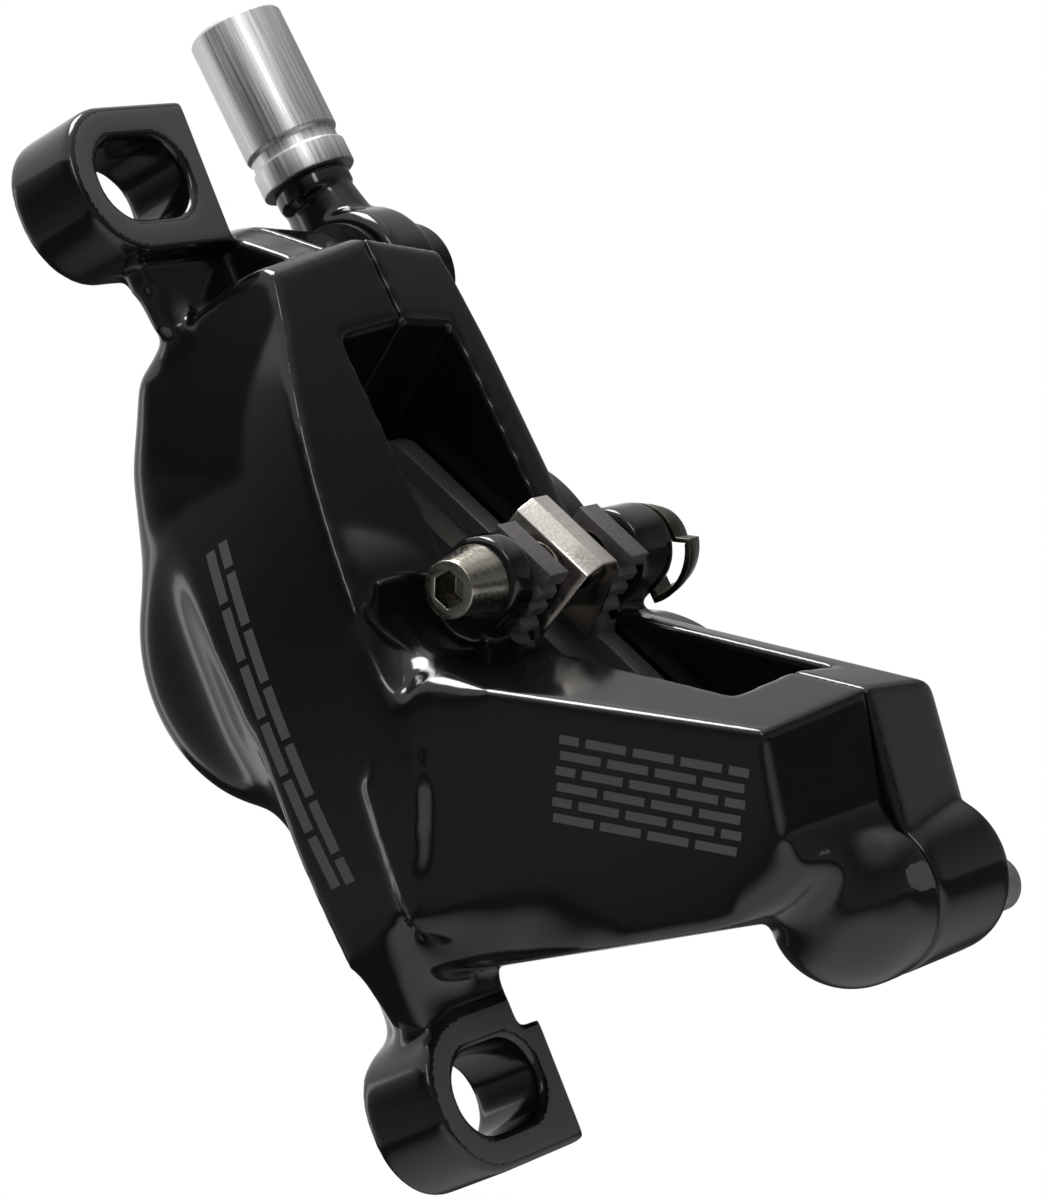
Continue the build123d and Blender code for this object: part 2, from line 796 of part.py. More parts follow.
def banjo():
    """Banjo eye with its neck and collar."""
    low = seat_y + washer_thickness
    eye = rod(banjo_eye, 2 * banjo_radius, low, low + banjo_thickness)
    eye = fillet(eye.edges().filter_by(GeomType.CIRCLE), banjo_edge)
    place = ferrule_place()
    base = place.origin
    start = Vector(banjo_x, base.Y, banjo_z)
    neck = drill(tuple(start), tuple(base - place.z_dir * collar_length), neck_diameter)
    collar = extrude(place * Circle(collar_diameter / 2), amount=-collar_length)
    spigot = extrude(place * Circle(spigot_diameter / 2), amount=ferrule_floor)
    body = eye + neck + collar + spigot
    bore = rod(banjo_eye, banjo_bolt_diameter + 2 * banjo_bore_gap, low, low + banjo_thickness)
    return body - bore


def banjo_bolt():
    """Hollow bolt that clamps the banjo."""
    seat = seat_y + 2 * washer_thickness + banjo_thickness
    shank = rod(banjo_eye, banjo_bolt_diameter, seat_y - banjo_thread, seat)
    shank = chamfer(shank.edges().sort_by(Axis.Y)[0], bolt_chamfer)
    head = rod(banjo_eye, banjo_bolt_head, seat, seat + banjo_head_height)
    head = chamfer(head.edges().sort_by(Axis.Y)[-1], bolt_chamfer)
    bolt = shank + head - hexagon(banjo_eye, banjo_hex, seat + banjo_head_height - bolt_hex_depth, seat + banjo_head_height)
    return bolt - rod(banjo_eye, passage, seat_y - banjo_thread, seat - washer_thickness)


def hose_ferrule():
    """Sleeve that crimps the hose, with a band and a ring at its lower end and an open mouth."""
    place = ferrule_place()
    ring = extrude(place * Circle(ferrule_diameter / 2), amount=ferrule_ring_length)
    band = extrude(place * Circle(ferrule_band_diameter / 2), amount=ferrule_ring_length + ferrule_band_length)
    start = ferrule_ring_length + ferrule_band_length
    sleeve_plane = place.offset(start)
    sleeve = extrude(sleeve_plane * Circle(ferrule_diameter / 2), amount=ferrule_length - start)
    sleeve = chamfer(sleeve.edges().filter_by(GeomType.CIRCLE), ferrule_edge)
    body = ring + band + sleeve
    body = body - extrude(place * Circle(spigot_diameter / 2), amount=ferrule_floor)
    return body - extrude(place.offset(ferrule_floor) * Circle(ferrule_bore / 2), amount=ferrule_length)


def bleed_plug():
    """Threaded plug at the end of the lower boss, with a hex socket."""
    face = parting + boss_far_length
    low = face - bleed_thread
    body = rod(bleed, bleed_diameter, low, face + bleed_length)
    body = chamfer(body.edges().sort_by(Axis.Y)[-1], bleed_rim / 2)
    return body - hexagon(bleed, bleed_hex, face + bleed_length - bolt_hex_depth, face + bleed_length)


nodes = {
    "outboard_body": outboard_body(),
    "inboard_body": inboard_body(),
    "body_bolt_upper": body_bolt(upper_bolt, upper_head_top),
    "body_bolt_lower": body_bolt(lower_bolt, lower_head_top),
    "crossover_seal": crossover_seal(),
    "pad_spring": pad_spring(),
    "pad_pin": pad_pin(),
    "pin_clip": pin_clip(),
    "banjo": banjo(),
    "banjo_bolt": banjo_bolt(),
    "banjo_washer_inner": washer(seat_y),
    "banjo_washer_outer": washer(seat_y + washer_thickness + banjo_thickness),
    "hose_ferrule": hose_ferrule(),
    "bleed_plug": bleed_plug(),
}
for level, place, diameter in (("upper", bore_up, bore_up_diameter), ("lower", bore_down, bore_down_diameter)):
    nodes[f"piston_outboard_{level}"] = piston(place, diameter)
    nodes[f"piston_inboard_{level}"] = to_inboard(piston(place, diameter))
    nodes[f"seal_outboard_{level}"] = piston_seal(place, diameter)
    nodes[f"seal_inboard_{level}"] = to_inboard(piston_seal(place, diameter))
nodes["backing_plate_outboard"] = backing_plate()
nodes["backing_plate_inboard"] = to_inboard(backing_plate())
nodes["friction_outboard"] = friction_block()
nodes["friction_inboard"] = to_inboard(friction_block())

os.makedirs("parts", exist_ok=True)
for name, solid in nodes.items():
    export_step(solid, f"parts/{name}.step")
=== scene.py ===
# %% [markdown]
# A bicycle disc brake caliper, dressed in Blender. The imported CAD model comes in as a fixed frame: every
# node is already in its place, in metres, so the work here is shape that CAD leaves plain, and finish.

# %% Load the frame
import math
import bpy
from mathutils import Matrix, Vector


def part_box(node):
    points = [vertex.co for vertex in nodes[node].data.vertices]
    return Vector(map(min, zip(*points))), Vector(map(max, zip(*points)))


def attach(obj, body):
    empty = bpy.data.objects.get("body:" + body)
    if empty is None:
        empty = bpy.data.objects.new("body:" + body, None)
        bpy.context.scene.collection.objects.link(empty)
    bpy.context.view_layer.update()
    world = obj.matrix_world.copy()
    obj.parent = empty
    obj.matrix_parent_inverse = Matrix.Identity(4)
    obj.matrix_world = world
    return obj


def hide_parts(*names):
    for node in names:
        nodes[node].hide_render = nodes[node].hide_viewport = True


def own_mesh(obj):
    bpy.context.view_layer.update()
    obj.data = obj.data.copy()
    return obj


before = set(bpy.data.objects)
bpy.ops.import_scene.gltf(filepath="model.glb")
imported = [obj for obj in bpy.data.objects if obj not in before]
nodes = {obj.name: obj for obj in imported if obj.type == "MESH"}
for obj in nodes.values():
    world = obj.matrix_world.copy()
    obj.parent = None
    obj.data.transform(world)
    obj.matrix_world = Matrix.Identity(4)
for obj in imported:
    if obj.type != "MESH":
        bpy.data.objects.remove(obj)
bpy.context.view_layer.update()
MM = 0.001
print("CAD nodes:", len(nodes))

# %% [markdown]
# Colours are read off the product as sRGB hex values. Blender's shaders work in linear light, so one
# function turns the one into the other. A second small function adds a node with its settings and links.

# %% Colour and node helpers


def linear(hex_colour):
    """sRGB hex to linear RGBA."""
    channels = [int(hex_colour[k:k + 2], 16) / 255 for k in (1, 3, 5)]
    return tuple((c / 12.92 if c <= 0.04045 else ((c + 0.055) / 1.055) ** 2.4) for c in channels) + (1,)


def add_node(tree, kind, settings=None, **inputs):
    """Adds a shader node with its settings and links.

    Settings are its properties. Inputs are its sockets, by name, or by number as in _0, each with a value or
    with the socket that feeds it.
    """
    node = tree.nodes.new(kind)
    for name, value in (settings or {}).items():
        setattr(node, name, value)
    for name, value in inputs.items():
        socket = node.inputs[int(name[1:])] if name[0] == "_" else node.inputs[name.replace("_", " ")]
        if isinstance(value, bpy.types.NodeSocket):
            tree.links.new(value, socket)
        else:
            socket.default_value = value
    return node


def new_material(name):
    """Empty node material and its node tree."""
    material = bpy.data.materials.new(name)
    material.use_nodes = True
    material.node_tree.nodes.clear()
    return material, material.node_tree


def finish_material(tree, shader):
    """Links a shader to the material's output."""
    add_node(tree, "ShaderNodeOutputMaterial", Surface=shader.outputs[0])


print("mid grey #808080 in linear light:", round(linear("#808080")[0], 3))

# %% [markdown]
# The two body halves are forgings. A forging has no sharp corner: each edge is a small round that draws a
# thin bright line, and faces run into each other through soft hollows. Bevelling hundreds of CAD edges by
# hand is slow, so a copy of each half is given an even skin of small squares with the Remesh modifier, and
# the Smooth modifier relaxes that skin, which rounds every edge and fills every inside corner alike.

# %% Piece helpers


def only(piece):
    """Makes a piece the one selected and active object."""
    bpy.ops.object.select_all(action="DESELECT")
    piece.select_set(True)
    bpy.context.view_layer.objects.active = piece


def apply_modifier(piece, kind, **settings):
    """Adds a modifier with its settings to a piece and applies it."""
    only(piece)
    modifier = piece.modifiers.new(kind.lower(), kind)
    for name, value in settings.items():
        setattr(modifier, name, value)
    bpy.ops.object.modifier_apply(modifier=modifier.name)


def merged_copy(node, name):
    """Copy of a CAD node's mesh as a new piece, its loose triangles merged."""
    piece = bpy.data.objects.new(name, nodes[node].data.copy())
    bpy.context.scene.collection.objects.link(piece)
    piece.data.materials.clear()
    only(piece)
    bpy.ops.object.mode_set(mode="EDIT")
    bpy.ops.mesh.select_all(action="SELECT")
    bpy.ops.mesh.remove_doubles(threshold=0.001 * MM)
    bpy.ops.object.mode_set(mode="OBJECT")
    return piece


def dress(piece, body, node):
    """Puts a piece in the place of a CAD node, on its body."""
    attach(piece, body)
    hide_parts(node)


print("triangles of the CAD model's outboard half:", len(nodes["outboard_body"].data.polygons))

# %% [markdown]
# The skin's squares are 0.18 mm, a sixth of the smallest wall that shows, and sixty rounds of smoothing give
# edges of about half a millimetre's radius. Afterwards the flat areas need few triangles, so the Decimate
# modifier drops most.

# %% Skin helpers
FORGED_SQUARE = 0.18 * MM
EDGE_ROUNDS = 60


def skin(piece, square, rounds):
    """Gives a piece an even skin whose edges are relaxed."""
    apply_modifier(piece, "REMESH", mode="VOXEL", voxel_size=square)
    apply_modifier(piece, "SMOOTH", factor=0.5, iterations=rounds)


def thin_out(piece, kept):
    """Drops triangles where the skin is flat."""
    apply_modifier(piece, "DECIMATE", ratio=kept)
    bpy.ops.object.shade_smooth()
    triangles = sum(len(face.vertices) - 2 for face in piece.data.polygons)
    print(piece.name, "has", triangles, "triangles")


print("skin squares in mm:", round(FORGED_SQUARE / MM, 2))

# %% [markdown]
# The flank over the upper piston has no edge at all on the real forging: it rolls away to the back in one
# full curve. The roots of the ears and the places where the arm meets the trunk and the boss are soft
# hollows. So those parts of the skin are smoothed far longer, which spreads their faces into one. A vertex
# group says where: each vertex has a weight of one inside a box, which fades to nothing at the box's sides.

# %% Soft places
HOLLOW_ROUNDS = 500


def relax(piece, boxes, rounds):
    """Spreads the corners of a skin inside boxes into one curve.

    Each box is its low corner, its high corner and the width of its fade, in millimetres.
    """
    group = piece.vertex_groups.new(name="soft")
    for vertex in piece.data.vertices:
        weight = 0.0
        for low, high, fade in boxes:
            inside = 1.0
            for k in range(3):
                place = vertex.co[k] / MM
                inside *= max(0.0, min(1.0, (place - low[k]) / fade, (high[k] - place) / fade))
            weight = max(weight, inside)
        if weight > 0:
            group.add([vertex.index], weight, "REPLACE")
    apply_modifier(piece, "SMOOTH", factor=0.5, iterations=rounds, vertex_group="soft")
    piece.vertex_groups.clear()


soft_places = (
    # The flank over the upper piston
    ((-14, -9, -16), (1.5, 9, 27), 3.0),
    # The underside, where the arm leaves the trunk
    ((6, -9, -31), (25, 2, -23.5), 1.5),
    # The arm's end, where the round boss grows out of it
    ((33, -3, -37), (43, 8, -28.5), 1.5),
    # The corner between the trunk, the arm's top and the near lug
    ((12, -9, -13), (23, 0.8, -2), 2.2),
    # The neck of the upper ear
    ((-1, -4, 22.5), (6.5, 2, 29), 1.5),
    # The root of the lower ear
    ((0, -8, -33), (6.2, 0, -25), 1.5),
)
print("soft places:", len(soft_places))

# %% [markdown]
# Both halves are made the same way, and only the outboard one, which the camera sees, has soft places. The
# share of triangles kept holds each half under 200,000.

# %% Forged halves
outboard_half = merged_copy("outboard_body", "outboard_half")
skin(outboard_half, FORGED_SQUARE, EDGE_ROUNDS)
relax(outboard_half, soft_places, HOLLOW_ROUNDS)
thin_out(outboard_half, kept=0.28)
inboard_half = merged_copy("inboard_body", "inboard_half")
skin(inboard_half, FORGED_SQUARE, EDGE_ROUNDS)
thin_out(inboard_half, kept=0.2)

# %% [markdown]
# Plain grey dashes are printed on the long face and on the arm. They could be modelled, but print has no
# thickness, so it is part of the material. A Brick texture draws the dashes, cut to a rectangle that lies
# along each face: its own axes come from a Mapping node, in millimetres.

# %% Printed dashes
# Only faces that lie outboard of this, in millimetres, are printed
PRINTED_UP_TO = 2.5


def printed_dashes(tree, place, middle, turn, half, dash, gap):
    """Mask of rows of dashes in a rectangle of the side view.

    The rectangle's middle and half size, a dash's length with its row's height, and the gap are in
    millimetres, and the turn is in degrees.
    """
    own = add_node(tree, "ShaderNodeMapping", {"vector_type": "TEXTURE"}, Vector=place.outputs["Object"],
                   Location=(middle[0] * MM, 0, middle[1] * MM), Rotation=(0, math.radians(turn), 0),
                   Scale=(MM, MM, MM))
    axes = add_node(tree, "ShaderNodeSeparateXYZ", Vector=own.outputs[0])
    flat = add_node(tree, "ShaderNodeCombineXYZ", X=axes.outputs["X"], Y=axes.outputs["Z"])
    rows = add_node(tree, "ShaderNodeTexBrick", {"offset": 0.5}, Vector=flat.outputs[0], Scale=1.0,
                    Mortar_Size=gap / 2, Mortar_Smooth=0.0, Brick_Width=dash[0], Row_Height=dash[1])
    mask = add_node(tree, "ShaderNodeMath", {"operation": "SUBTRACT"}, _0=1.0, _1=rows.outputs["Fac"])
    for axis, limit in (("X", half[0]), ("Z", half[1])):
        size = add_node(tree, "ShaderNodeMath", {"operation": "ABSOLUTE"}, _0=axes.outputs[axis])
        inside = add_node(tree, "ShaderNodeMath", {"operation": "LESS_THAN"}, _0=size.outputs[0], _1=limit)
        mask = add_node(tree, "ShaderNodeMath", {"operation": "MULTIPLY"}, _0=mask.outputs[0],
                        _1=inside.outputs[0])
    outboard = add_node(tree, "ShaderNodeMath", {"operation": "LESS_THAN"}, _0=axes.outputs["Y"],
                        _1=PRINTED_UP_TO)
    return add_node(tree, "ShaderNodeMath", {"operation": "MULTIPLY"}, _0=mask.outputs[0],
                    _1=outboard.outputs[0])


# Each print is its middle, its turn, its half size, a dash with its row, and the gap
long_face_print = ((4.9, -5.5), 87.0, (13.75, 1.45), (4.6, 1.45), 0.5)
arm_print = ((31.0, -21.8), 32.5, (6.95, 3.45), (3.5, 1.15), 0.5)
print("half sizes of the prints in mm:", long_face_print[2], arm_print[2])

# %% [markdown]
# Black anodised aluminium: polished, dyed black and sealed. It is nearly black with a tight gloss, so what
# the eye sees is the studio in it. The roughness drifts a little over centimetres, as hand polish does, and
# the Bevel node lights the last sharp edges as if they were round.

# %% Black anodised finish
# The grain of the sealed skin, the spacing of the polish's drift, and the round that every edge is lit with
ANODISED_GRAIN = 0.25 * MM
POLISH_DRIFT = 9 * MM
LIT_ROUND = 0.3 * MM


def black_anodised(name, hex_colour, roughness, print_hex="", prints=()):
    """Dyed and sealed anodising, with printed dashes where they are asked for."""
    material, tree = new_material(name)
    place = add_node(tree, "ShaderNodeTexCoord")
    fine = add_node(tree, "ShaderNodeTexNoise", Vector=place.outputs["Object"], Scale=1 / ANODISED_GRAIN,
                    Detail=3.0)
    round_edge = add_node(tree, "ShaderNodeBevel", {"samples": 8}, Radius=LIT_ROUND)
    bump = add_node(tree, "ShaderNodeBump", Strength=0.06, Distance=0.01 * MM, Height=fine.outputs["Fac"],
                    Normal=round_edge.outputs[0])
    cloud = add_node(tree, "ShaderNodeTexNoise", Vector=place.outputs["Object"], Scale=1 / POLISH_DRIFT,
                     Detail=2.0)
    rough = add_node(tree, "ShaderNodeMapRange", Value=cloud.outputs["Fac"], To_Min=roughness * 0.8,
                     To_Max=roughness * 1.2).outputs[0]
    colour = linear(hex_colour)
    for print_place in prints:
        mask = printed_dashes(tree, place, *print_place)
        mix = add_node(tree, "ShaderNodeMix", {"data_type": "RGBA"}, _0=mask.outputs[0], _6=colour,
                       _7=linear(print_hex))
        colour = mix.outputs[2]
        mix = add_node(tree, "ShaderNodeMix", _0=mask.outputs[0], _2=rough, _3=0.5)
        rough = mix.outputs[0]
    shader = add_node(tree, "ShaderNodeBsdfPrincipled", Base_Color=colour, Roughness=rough,
                      Normal=bump.outputs[0])
    finish_material(tree, shader)
    return material


BLACK = "#0a0a0b"
POLISHED = 0.13
body_black = black_anodised("polished_black_anodised_aluminium", BLACK, POLISHED)
printed_black = black_anodised("printed_black_anodised_aluminium", BLACK, POLISHED, "#3a3a3c",
                               (long_face_print, arm_print))
print("anodised materials:", body_black.name, printed_black.name)

# %% [markdown]
# The front faces of the two ears are milled flat after forging and then dyed, so they are a mid grey-black
# without gloss. They get their own material: a face belongs to them if it points along the bolts there.

# %% Milled ear faces
# Least share of a face's direction that points along the bolts, and where the ears begin
ALONG_BOLTS = 0.985
EAR_FACES_FROM = 6.8 * MM
EARS_FROM = 30 * MM
milled_black = black_anodised("milled_black_anodised_aluminium", "#38383a", 0.5)
outboard_half.data.materials.append(printed_black)
outboard_half.data.materials.append(milled_black)
milled = 0
for face in outboard_half.data.polygons:
    if face.normal.x > ALONG_BOLTS and face.center.x > EAR_FACES_FROM and abs(face.center.z) > EARS_FROM:
        face.material_index = 1
        milled += 1
print("milled faces:", milled)
inboard_half.data.materials.append(body_black)
dress(outboard_half, "caliper", "outboard_body")
dress(inboard_half, "caliper", "inboard_body")

# %% [markdown]
# Steel and bare aluminium. These are true metals: the colour is the tint of their reflections. Drawn and
# turned parts carry fine lines, so the roughness and a faint bump follow a noise that is stretched along the
# lines: its scale is large across them and small along them, both from a real spacing in millimetres.

# %% Metal finish
# The round that the edges of small parts are lit with
SMALL_LIT_ROUND = 0.12 * MM


def lined_metal(name, hex_colour, roughness, across, along, turn, depth):
    """Metal with fine lines.

    Across is their spacing and along their length, in millimetres. Turn lays the lines' own axes on the
    piece, in degrees, and depth is the strength of their bump.
    """
    material, tree = new_material(name)
    place = add_node(tree, "ShaderNodeTexCoord")
    own = add_node(tree, "ShaderNodeMapping", {"vector_type": "TEXTURE"}, Vector=place.outputs["Object"],
                   Rotation=tuple(math.radians(angle) for angle in turn),
                   Scale=(across * MM, across * MM, along * MM))
    lines = add_node(tree, "ShaderNodeTexNoise", Vector=own.outputs[0], Scale=1.0, Detail=2.0)
    rough = add_node(tree, "ShaderNodeMapRange", Value=lines.outputs["Fac"], From_Min=0.3, From_Max=0.7,
                     To_Min=roughness * 0.7, To_Max=roughness * 1.3)
    shade = add_node(tree, "ShaderNodeMapRange", Value=lines.outputs["Fac"], From_Min=0.3, From_Max=0.7,
                     To_Min=0.8, To_Max=1.0)
    tint = add_node(tree, "ShaderNodeMix", {"data_type": "RGBA", "blend_type": "MULTIPLY"}, _0=1.0,
                    _6=linear(hex_colour), _7=shade.outputs[0])
    round_edge = add_node(tree, "ShaderNodeBevel", {"samples": 6}, Radius=SMALL_LIT_ROUND)
    bump = add_node(tree, "ShaderNodeBump", Strength=depth, Distance=0.02 * MM, Height=lines.outputs["Fac"],
                    Normal=round_edge.outputs[0])
    shader = add_node(tree, "ShaderNodeBsdfPrincipled", Base_Color=tint.outputs[2], Metallic=1.0,
                      Roughness=rough.outputs[0], Normal=bump.outputs[0])
    finish_material(tree, shader)
    return material


# The spring is bright rolled stainless sheet; the pin and clip are dark nickel-plated steel
spring_stainless = lined_metal("rolled_stainless_spring", "#d8d2ca", 0.16, 0.15, 4.0, (90, 0, 0), 0.15)
pin_nickel = lined_metal("dark_nickel_plated_steel", "#a5a296", 0.24, 0.3, 0.3, (0, 0, 0), 0.04)
clip_nickel = lined_metal("dark_nickel_clip_steel", "#5c5a51", 0.3, 0.3, 0.3, (0, 0, 0), 0.04)
# The hose sleeve is aluminium, brushed along its length
sleeve_aluminium = lined_metal("brushed_sleeve_aluminium", "#d0d0d0", 0.42, 0.22, 9.0, (0, -5.7, 0), 0.3)
# The washers are turned aluminium, dyed dark grey
washer_aluminium = lined_metal("grey_washer_aluminium", "#3c3c3e", 0.45, 0.3, 0.3, (0, 0, 0), 0.05)
# Body bolts and the banjo bolt are black oxide steel, bare steel seen through a thin black film
bolt_black = lined_metal("black_oxide_steel", "#37373a", 0.34, 0.3, 0.3, (0, 0, 0), 0.05)
print("metals:", spring_stainless.name, pin_nickel.name, clip_nickel.name, sleeve_aluminium.name,
      washer_aluminium.name, bolt_black.name)

# %% [markdown]
# Painted, moulded and pressed surfaces. None is smooth: paint has a fine orange peel, rubber and phenolic are
# cast matte, and a friction block is a pressed mix of fibre, resin and metal, so it is speckled.

# %% Matte finish


def matte(name, hex_colour, other_hex, roughness, grain, depth):
    """Matte surface that drifts between two colours over its grain, which is in millimetres."""
    material, tree = new_material(name)
    place = add_node(tree, "ShaderNodeTexCoord")
    grains = add_node(tree, "ShaderNodeTexNoise", Vector=place.outputs["Object"], Scale=1 / (grain * MM),
                      Detail=4.0)
    spread = add_node(tree, "ShaderNodeMapRange", Value=grains.outputs["Fac"], From_Min=0.35, From_Max=0.65)
    colour = add_node(tree, "ShaderNodeMix", {"data_type": "RGBA"}, _0=spread.outputs[0],
                      _6=linear(hex_colour), _7=linear(other_hex))
    rough = add_node(tree, "ShaderNodeMapRange", Value=spread.outputs[0], To_Min=roughness * 0.9,
                     To_Max=roughness * 1.1)
    round_edge = add_node(tree, "ShaderNodeBevel", {"samples": 6}, Radius=SMALL_LIT_ROUND)
    bump = add_node(tree, "ShaderNodeBump", Strength=depth, Distance=0.04 * MM, Height=grains.outputs["Fac"],
                    Normal=round_edge.outputs[0])
    shader = add_node(tree, "ShaderNodeBsdfPrincipled", Base_Color=colour.outputs[2],
                      Roughness=rough.outputs[0], Normal=bump.outputs[0])
    finish_material(tree, shader)
    return material


plate_paint = matte("painted_steel_pad_plate", "#454044", "#353235", 0.42, 0.3, 0.25)
friction_mix = matte("pressed_friction_compound", "#262422", "#3b3631", 0.85, 0.35, 0.8)
seal_rubber = matte("moulded_seal_rubber", "#0d0d0e", "#141416", 0.65, 0.4, 0.2)
piston_phenolic = matte("moulded_phenolic_piston", "#1d1b1a", "#2a2724", 0.5, 0.3, 0.2)
plug_grey = matte("grey_bleed_plug_steel", "#58585c", "#4c4c50", 0.4, 0.25, 0.15)
print("matte surfaces:", plate_paint.name, friction_mix.name, seal_rubber.name, piston_phenolic.name,
      plug_grey.name)

# %% [markdown]
# Small turned and pressed parts keep their CAD shape, with their edges broken: each is a merged copy whose
# flat areas are joined by a limited dissolve, so that the Bevel modifier finds only the true edges. A tiny
# bevel is what makes a small metal part read as metal, because every edge then has its own highlight.

# %% Small parts with broken edges
# Faces are joined where they are flat within the first angle, bevelled where they meet more sharply than
# the second, and shaded smooth up to the third
FLAT_WITHIN = math.radians(0.5)
SHARP_FROM = math.radians(32)
SMOOTH_UP_TO = math.radians(40)


def edge_broken(node, name, width):
    """Merged copy of a CAD node with a small bevel, in millimetres, on its sharp edges."""
    piece = merged_copy(node, name)
    bpy.ops.object.mode_set(mode="EDIT")
    bpy.ops.mesh.select_all(action="SELECT")
    bpy.ops.mesh.dissolve_limited(angle_limit=FLAT_WITHIN)
    bpy.ops.object.mode_set(mode="OBJECT")
    apply_modifier(piece, "BEVEL", width=width * MM, segments=3, limit_method="ANGLE",
                   angle_limit=SHARP_FROM)
    bpy.ops.object.shade_smooth_by_angle(angle=SMOOTH_UP_TO)
    print(name, "has", len(piece.data.polygons), "faces")
    return piece


# CAD node, piece, body, slot, finish, and the bevel's width in millimetres
small_parts = (
    ("pad_pin", "retaining_pin", "pin", "nickel_steel", pin_nickel, 0.2),
    ("hose_ferrule", "hose_sleeve", "hose_end", "silver_aluminium", sleeve_aluminium, 0.16),
    ("backing_plate_outboard", "pad_plate_outboard", "pad_outboard", "plate_steel", plate_paint, 0.12),
    ("backing_plate_inboard", "pad_plate_inboard", "pad_inboard", "plate_steel", plate_paint, 0.12),
)
for node, name, body, slot, finish, width in small_parts:
    piece = edge_broken(node, name, width)
    piece.data.materials.append(finish)
    dress(piece, body, node)

# %% [markdown]
# The clip that keeps the pin in is a C of spring steel strip: the wall of a short ring with an opening. It
# could be cut out of a tube, but a strip is easier to bend from a line. So a circle is added round the pin,
# and the vertices of the opening are deleted.

# %% Clip's open ring
pin_low, pin_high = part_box("pad_pin")
pin_middle = (pin_low + pin_high) / 2
clip_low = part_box("pin_clip")[0]
ring_radius = 3.4 * MM
# Angles round the pin in degrees, 0 forwards and 90 up
opening = (168, 243)
bpy.ops.object.select_all(action="DESELECT")
bpy.ops.mesh.primitive_circle_add(vertices=72, radius=ring_radius, rotation=(math.radians(90), 0, 0),
                                  location=(pin_middle.x, clip_low.y + 0.1 * MM, pin_middle.z))
clip = bpy.context.object
clip.name = "retaining_clip"
bpy.ops.object.transform_apply(location=True, rotation=True, scale=True)
bpy.ops.object.mode_set(mode="EDIT")
bpy.ops.mesh.select_all(action="DESELECT")
bpy.ops.object.mode_set(mode="OBJECT")


def clip_angle(place):
    """Angle of a place round the pin."""
    return math.degrees(math.atan2(place.z - pin_middle.z, place.x - pin_middle.x)) % 360


for vertex in clip.data.vertices:
    vertex.select = opening[0] < clip_angle(vertex.co) < opening[1]
bpy.ops.object.mode_set(mode="EDIT")
bpy.ops.mesh.delete(type="VERT")
bpy.ops.object.mode_set(mode="OBJECT")
print("points of the open ring:", len(clip.data.vertices))

# %% [markdown]
# The ring's lower front quarter is drawn out to a wider bow, with a step that a finger can catch. The line is
# then extruded along the pin in two steps, each drawn in a little, which makes it a strip.

# %% Clip's bow and strip
bow = (256, 346)
bow_share = 1.36
# How far each step goes along the pin, and the share that it is drawn in to
ring_steps = ((1.3 * MM, 0.93), (1.2 * MM, 0.9))


def resize_round_pin(share):
    """Draws what is selected out from the pin or in towards it."""
    bpy.ops.transform.resize(value=(share, 1, share), center_override=(pin_middle.x, 0, pin_middle.z))


for vertex in clip.data.vertices:
    vertex.select = bow[0] < clip_angle(vertex.co) < bow[1]
bpy.ops.object.mode_set(mode="EDIT")
resize_round_pin(bow_share)
bpy.ops.mesh.select_all(action="SELECT")
for depth, share in ring_steps:
    bpy.ops.mesh.extrude_region_move(TRANSFORM_OT_translate={"value": (0, depth, 0)})
    resize_round_pin(share)
bpy.ops.mesh.select_all(action="DESELECT")
bpy.ops.mesh.select_non_manifold()
bpy.ops.object.mode_set(mode="OBJECT")
print("faces of the strip:", len(clip.data.polygons))

# %% [markdown]
# The strip's two ends are extruded inwards as the legs that grip the pin's groove. The whole open rim was
# selected above, and of its edges only those that run along the pin are the ends. Solidify and Bevel then
# give the sheet its thickness and its soft edges.

# %% Clip's legs and sheet
sheet = 0.45 * MM
leg_share = 0.68
# An edge of the rim that goes further than this along the pin is at one of the ends
end_edge = 0.3 * MM
for edge in clip.data.edges:
    ends = [clip.data.vertices[k].co for k in edge.vertices]
    edge.select = edge.select and abs(ends[0].y - ends[1].y) > end_edge
for vertex in clip.data.vertices:
    vertex.select = False
bpy.ops.object.mode_set(mode="EDIT")
bpy.ops.mesh.select_mode(type="EDGE")
bpy.ops.mesh.extrude_region_move()
resize_round_pin(leg_share)
bpy.ops.mesh.select_all(action="SELECT")
bpy.ops.mesh.normals_make_consistent(inside=False)
bpy.ops.object.mode_set(mode="OBJECT")
apply_modifier(clip, "SOLIDIFY", thickness=sheet, offset=-1)
apply_modifier(clip, "BEVEL", width=0.1 * MM, segments=2, limit_method="ANGLE", angle_limit=SMOOTH_UP_TO)
bpy.ops.object.shade_smooth_by_angle(angle=SMOOTH_UP_TO)
clip.data.materials.append(clip_nickel)
dress(clip, "pin", "pin_clip")
print("clip faces:", len(clip.data.polygons))

# %% [markdown]
# The pad spring is a strip of stainless sheet, folded over the pin, with a leg down beside each plate that
# holds the pads apart. It is squeezed as the pads come together. This piece keeps its CAD shape, with its
# edges broken, and gets a mesh of its own.

# %% Pad spring
spring = edge_broken("pad_spring", "pad_spring_strip", 0.1)
spring.data.materials.append(spring_stainless)
dress(spring, "caliper", "pad_spring")
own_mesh(spring)

# %% [markdown]
# The banjo is forged like the halves, an eye whose neck has a waist: it spreads into the eye below and into
# the collar above. Two cones, set end to end on the neck and joined to it, give the waist. Then it gets a
# skin too, which melts them into one form, with smaller squares because it is a small part.

# %% Banjo
banjo_fitting = merged_copy("banjo", "banjo_fitting")
banjo_low, banjo_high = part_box("banjo")
bolt_low, bolt_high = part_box("banjo_bolt")
eye_middle = Vector(((bolt_low.x + bolt_high.x) / 2, (banjo_low.y + banjo_high.y) / 2,
                     (bolt_low.z + bolt_high.z) / 2))
